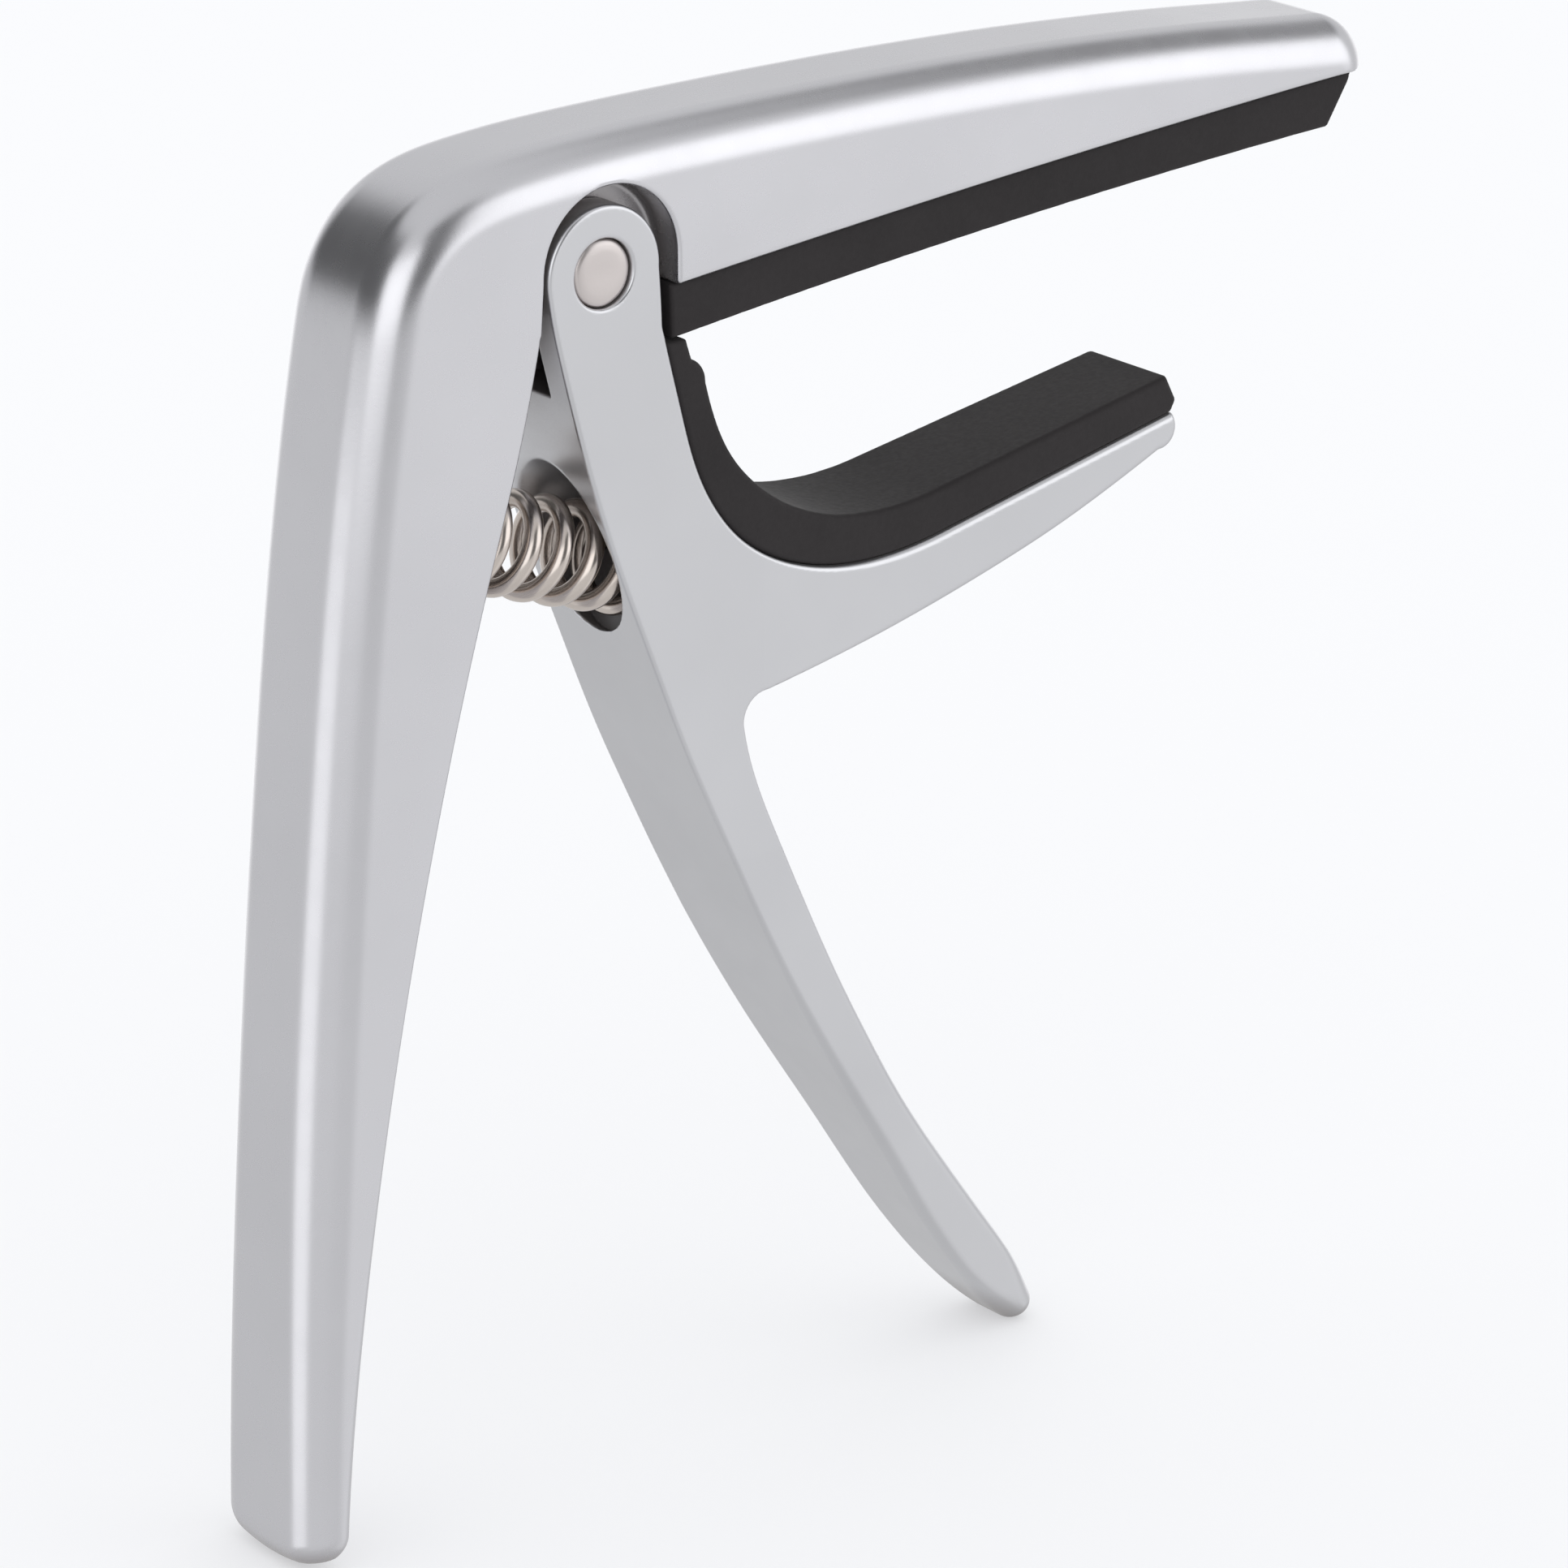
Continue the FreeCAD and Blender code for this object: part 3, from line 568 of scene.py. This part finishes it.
arm = shape("arm_casting", arm_shape, "arm", "main_arm", MAT_ARM, (-30, 75), (-6, 6), (-93.5, 11.5))
lever = shape("lever_casting", lever_shape, "lever", "lever", MAT_LEVER, (-6.5, 57), (-5.7, 5.7), (-93.5, 6.5))

# ------------------------------------------------------------------ pads
PAD_TOP = join(arc3((6.05, -1.97), (38.5, 0.692), (71.0, 2.64)))
FIELDS["string_pad"] = Field(join(
    PAD_TOP, line((71.0, 2.64), (70.75, 1.85), (68.7, -1.33)), arc3((68.7, -1.33), (38.0, -3.03), (6.20, -5.93)),
    line((6.20, -5.93), (6.05, -1.97))), True)
TOPLINE = [
    (9.20, -9.55), (9.85, -11.85), (10.80, -14.2), (12.30, -16.5), (14.25, -18.45),
    (16.6, -20.1), (19.5, -21.45), (22.3, -22.2), (25.3, -22.5), (28.2, -22.45), (31.0, -22.1),
]
seat = natural(SADDLE)
tan = np.gradient(seat, axis=0); tan /= np.linalg.norm(tan, axis=1)[:, None]
seat = seat + np.stack([-tan[:, 1], tan[:, 0]], 1) * 0.02
seat = seat[20:]
FIELDS["saddle_pad"] = Field(join(
    seat, line(seat[-1], (54.30, -21.02), (54.80, -20.15), (53.75, -18.12), TOPLINE[-1]), natural(TOPLINE[::-1]),
    arc3(TOPLINE[0], (8.80, -8.35), (7.98, -7.75)), line((7.98, -7.75), (7.45, -6.12), (5.55, -6.12), seat[0])), True)


def string_pad_shape(x, y, z, D):
    return both(D("string_pad"), np.abs(y) - 5.3, 0.30)


def saddle_pad_shape(x, y, z, D):
    half = 5.4 - 1.0 * np.clip((x - 14.0) / 41.0, 0.0, 1.2)
    return both(D("saddle_pad"), np.abs(y) - half, 0.40)


spad = shape("string_pad_moulding", string_pad_shape, "arm", "string_pad", MAT_RUBBER, (5, 73), (-5.3, 5.3), (-7.0, 4.0))
sadd = shape("saddle_pad_moulding", saddle_pad_shape, "lever", "saddle_pad", MAT_RUBBER, (4, 57), (-5.4, 5.4), (-27.5, -5.0))

# ------------------------------------------------------------------ spring
def tube(name, path, radius, mat, sides=20):
    """A round wire along the path, with its ends closed."""
    path = np.array(path, float)
    t = np.gradient(path, axis=0); t /= np.linalg.norm(t, axis=1)[:, None]
    up = np.cross(t[0], (0.0, 1.0, 0.0)); up /= np.linalg.norm(up)
    verts = []
    for k in range(len(path)):
        up = up - t[k] * (up @ t[k]); up /= np.linalg.norm(up)
        w = np.cross(t[k], up)
        for j in range(sides):
            a = 2 * math.pi * j / sides
            verts.append(path[k] + radius * (math.cos(a) * up + math.sin(a) * w))
    faces = []
    for k in range(len(path) - 1):
        for j in range(sides):
            j2 = (j + 1) % sides
            faces.append((k * sides + j, k * sides + j2, (k + 1) * sides + j2, (k + 1) * sides + j))
    faces.append(tuple(range(sides))[::-1])
    faces.append(tuple((len(path) - 1) * sides + j for j in range(sides)))
    me = bpy.data.meshes.new(name)
    me.from_pydata([tuple(v) for v in verts], [], faces)
    me.update()
    bm = bmesh.new(); bm.from_mesh(me)
    bmesh.ops.recalc_face_normals(bm, faces=bm.faces)
    bm.to_mesh(me); bm.free()
    me.polygons.foreach_set("use_smooth", [len(p.vertices) == 4 for p in me.polygons])
    me.materials.append(mat)
    ob = bpy.data.objects.new(name, me)
    scene.collection.objects.link(ob)
    return ob


WIRE, MEAN = 1.4, 3.25
s0, s1 = -9.5 + WIRE / 2 + 0.05, 8.5
turns = 7.0
ts = np.linspace(0.0, 1.0, 620)
# the end turns lie close, the working turns stand apart
rise = np.clip((ts * turns - 0.55) / (turns - 1.1), 0.0, 1.0)
u = s0 + 0.25 * np.clip(ts * turns / 0.55, 0, 1) + (s1 - s0 - 0.5) * rise + 0.25 * np.clip((ts * turns - turns + 0.55) / 0.55, 0, 1)
PHASE = 1.466
ang = 2 * math.pi * turns * ts + PHASE
v = MEAN * np.cos(ang); w = MEAN * np.sin(ang)
px_ = HALF_WAY[0] + u * AX[0] - v * AX[1]
pz_ = HALF_WAY[1] + u * AX[1] + v * AX[0]
path = leant(np.stack([px_, w, pz_], 1)) * MM + np.array(PIVOT)
coil = tube("clamp_spring_wire", path, WIRE / 2 * MM, MAT_WIRE)
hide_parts("clamp_spring")
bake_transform(coil)

# ------------------------------------------------------------------ pin
prof = [(0.0, 5.50), (0.7, 5.52), (1.5, 5.53), (2.0, 5.50), (2.25, 5.42), (2.40, 5.28), (2.46, 5.10), (2.48, 4.8), (2.48, 0.0)]
prof = prof + [(r, -y) for r, y in prof[::-1][1:]]
SEG = 96
verts, faces = [], []
rings = []
for r, y in prof:
    if r < 1e-6:
        verts.append((PIVOT.x, PIVOT.y + y * MM, PIVOT.z)); rings.append([len(verts) - 1]); continue
    ring = []
    for j in range(SEG):
        a = 2 * math.pi * j / SEG
        # the hammered rim of a riveted end is a little uneven
        k = 1.0 + (0.006 * math.sin(3 * a + 0.6) + 0.004 * math.sin(7 * a)) * (1.0 if abs(y) > 4.9 else 0.0)
        yy = y + (0.02 * math.sin(2 * a + 1.0) * (r / 2.4) if abs(y) > 5.2 else 0.0)
        verts.append((PIVOT.x + r * k * math.cos(a) * MM, PIVOT.y + yy * MM, PIVOT.z + r * k * math.sin(a) * MM))
        ring.append(len(verts) - 1)
    rings.append(ring)
for A_, B_ in zip(rings[:-1], rings[1:]):
    for j in range(SEG):
        j2 = (j + 1) % SEG
        if len(A_) == 1:
            faces.append((A_[0], B_[j], B_[j2]))
        elif len(B_) == 1:
            faces.append((A_[j], B_[0], A_[j2]))
        else:
            faces.append((A_[j], B_[j], B_[j2], A_[j2]))
me = bpy.data.meshes.new("pivot_pin_riveted")
me.from_pydata(verts, [], faces)
bm = bmesh.new(); bm.from_mesh(me)
bmesh.ops.recalc_face_normals(bm, faces=bm.faces)
bm.to_mesh(me); bm.free()
me.polygons.foreach_set("use_smooth", [True] * len(me.polygons))
me.materials.append(MAT_PIN)
pin = bpy.data.objects.new("pivot_pin_riveted", me)
scene.collection.objects.link(pin)
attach(pin, "lever")
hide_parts("pivot_pin")

# ------------------------------------------------------------------ floor
bm = bmesh.new()
R = 6.0
vs = [bm.verts.new((x * R, y * R, 0.0)) for x, y in ((-1, -1), (1, -1), (1, 1), (-1, 1))]
bm.faces.new(vs)
me = bpy.data.meshes.new("floor")
bm.to_mesh(me); bm.free()
floor = bpy.data.objects.new("floor", me)
scene.collection.objects.link(floor)
m, nt, bsdf = new_material("paper_floor")
bsdf.inputs["Base Color"].default_value = (0.50, 0.502, 0.508, 1.0)
# a light table: half of its brightness comes from below
bsdf.inputs["Emission Color"].default_value = (0.985, 0.992, 1.012, 1.0)
bsdf.inputs["Emission Strength"].default_value = 0.45
bsdf.inputs["Roughness"].default_value = 0.9
bsdf.inputs["Specular IOR Level"].default_value = 0.1
me.materials.append(m)
floor.visible_glossy = False

# ------------------------------------------------------------------ light
world = bpy.data.worlds.new("studio")
scene.world = world
world.use_nodes = True
nt = world.node_tree
nt.nodes.clear()
wout = nt.nodes.new("ShaderNodeOutputWorld")
lp = nt.nodes.new("ShaderNodeLightPath")
tc = nt.nodes.new("ShaderNodeTexCoord")


def math_node(op, *args):
    n = nt.nodes.new("ShaderNodeMath")
    n.operation = op
    for i, v in enumerate(args):
        if isinstance(v, (int, float)):
            n.inputs[i].default_value = v
        else:
            nt.links.new(v, n.inputs[i])
    return n.outputs[0]


nrm = nt.nodes.new("ShaderNodeVectorMath"); nrm.operation = "NORMALIZE"
nt.links.new(tc.outputs["Generated"], nrm.inputs[0])
sep = nt.nodes.new("ShaderNodeSeparateXYZ")
nt.links.new(nrm.outputs[0], sep.inputs[0])
DEG = 180.0 / math.pi
AZ = math_node("MULTIPLY", math_node("ARCTAN2", sep.outputs[0], sep.outputs[1]), DEG)
EL = math_node("MULTIPLY", math_node("ARCSINE", sep.outputs[2]), DEG)


def edge(value, a, b):
    """0 before a, 1 after b, smooth between (a may be more than b)."""
    mr = nt.nodes.new("ShaderNodeMapRange")
    mr.interpolation_type = "SMOOTHSTEP"
    lo, hi, o0, o1 = (a, b, 0.0, 1.0) if a < b else (b, a, 1.0, 0.0)
    mr.inputs["From Min"].default_value = lo
    mr.inputs["From Max"].default_value = hi
    mr.inputs["To Min"].default_value = o0
    mr.inputs["To Max"].default_value = o1
    nt.links.new(value, mr.inputs["Value"])
    return mr.outputs[0]


def panel(total, az0, az1, el0, el1, value, soft_az=12.0, soft_el=8.0, az_mid=None):
    """One panel, gap or card of the tent: the light towards it becomes value."""
    mid_az = (az0 + az1) / 2.0
    half = (az1 - az0) / 2.0
    # azimuth measured from the middle of the panel, wrapped to -180..180
    off = math_node("SUBTRACT", math_node("FLOORED_MODULO", math_node("ADD", math_node("SUBTRACT", AZ, mid_az), 540.0), 360.0), 180.0)
    m1 = edge(math_node("ABSOLUTE", off), half + soft_az / 2.0, half - soft_az / 2.0)
    m2 = edge(EL, el0 - soft_el / 2.0, el0 + soft_el / 2.0)
    m3 = edge(EL, el1 + soft_el / 2.0, el1 - soft_el / 2.0)
    mask = math_node("MULTIPLY", math_node("MULTIPLY", m1, m2), m3)
    diff = math_node("SUBTRACT", value, total) if isinstance(total, (int, float)) else None
    if diff is None:
        n = nt.nodes.new("ShaderNodeMath"); n.operation = "SUBTRACT"
        n.inputs[0].default_value = value
        nt.links.new(total, n.inputs[1])
        diff = n.outputs[0]
    return math_node("ADD", total, math_node("MULTIPLY", diff, mask))


base = nt.nodes.new("ShaderNodeValue"); base.outputs[0].default_value = 0.68
total = base.outputs[0]
PANELS = [
    # azimuth from, to, elevation from, to, light, softness in azimuth, in elevation
    (-110, -8, 4, 54, 0.09, 24, 12),       # dark side of the room, left and behind
    (-58, -10, -14, 4, 0.72, 20, 10),      # table edge below it
    (-190, -108, -50, -7, 0.74, 16, 10),   # floor in front, left
    (-104, -62, -30, 0, 1.20, 16, 10),     # low white card on the left
    (58, 112, 34, 54, 0.24, 26, 14),       # gap above, on the right
    (5, 75, -22, 5, 1.18, 24, 12),         # bright sweep behind
    (104, 160, -60, -6, 0.84, 24, 14),     # floor in front, right
    (158, 204, -3, 50, 0.14, 12, 10),      # gap where the camera stands
    (112, 163, -6, 36, 1.42, 14, 12),      # soft box, right of the camera
    (-157, -108, -4, 36, 1.42, 14, 10),    # soft box, left of the camera
]
for a0, a1, e0, e1, val, sa_, se_ in PANELS:
    total = panel(total, a0, a1, e0, e1, val, sa_, se_)
gl = nt.nodes.new("ShaderNodeBackground")
nt.links.new(total, gl.inputs["Strength"])
gl.inputs["Color"].default_value = (1.0, 1.0, 1.0, 1.0)
df = nt.nodes.new("ShaderNodeBackground")
df.inputs["Color"].default_value = (0.985, 0.99, 1.0, 1.0)
df.inputs["Strength"].default_value = 1.05
mix = nt.nodes.new("ShaderNodeMixShader")
nt.links.new(lp.outputs["Is Glossy Ray"], mix.inputs[0])
nt.links.new(df.outputs[0], mix.inputs[1])
nt.links.new(gl.outputs[0], mix.inputs[2])
nt.links.new(mix.outputs[0], wout.inputs[0])

bpy.context.view_layer.update()
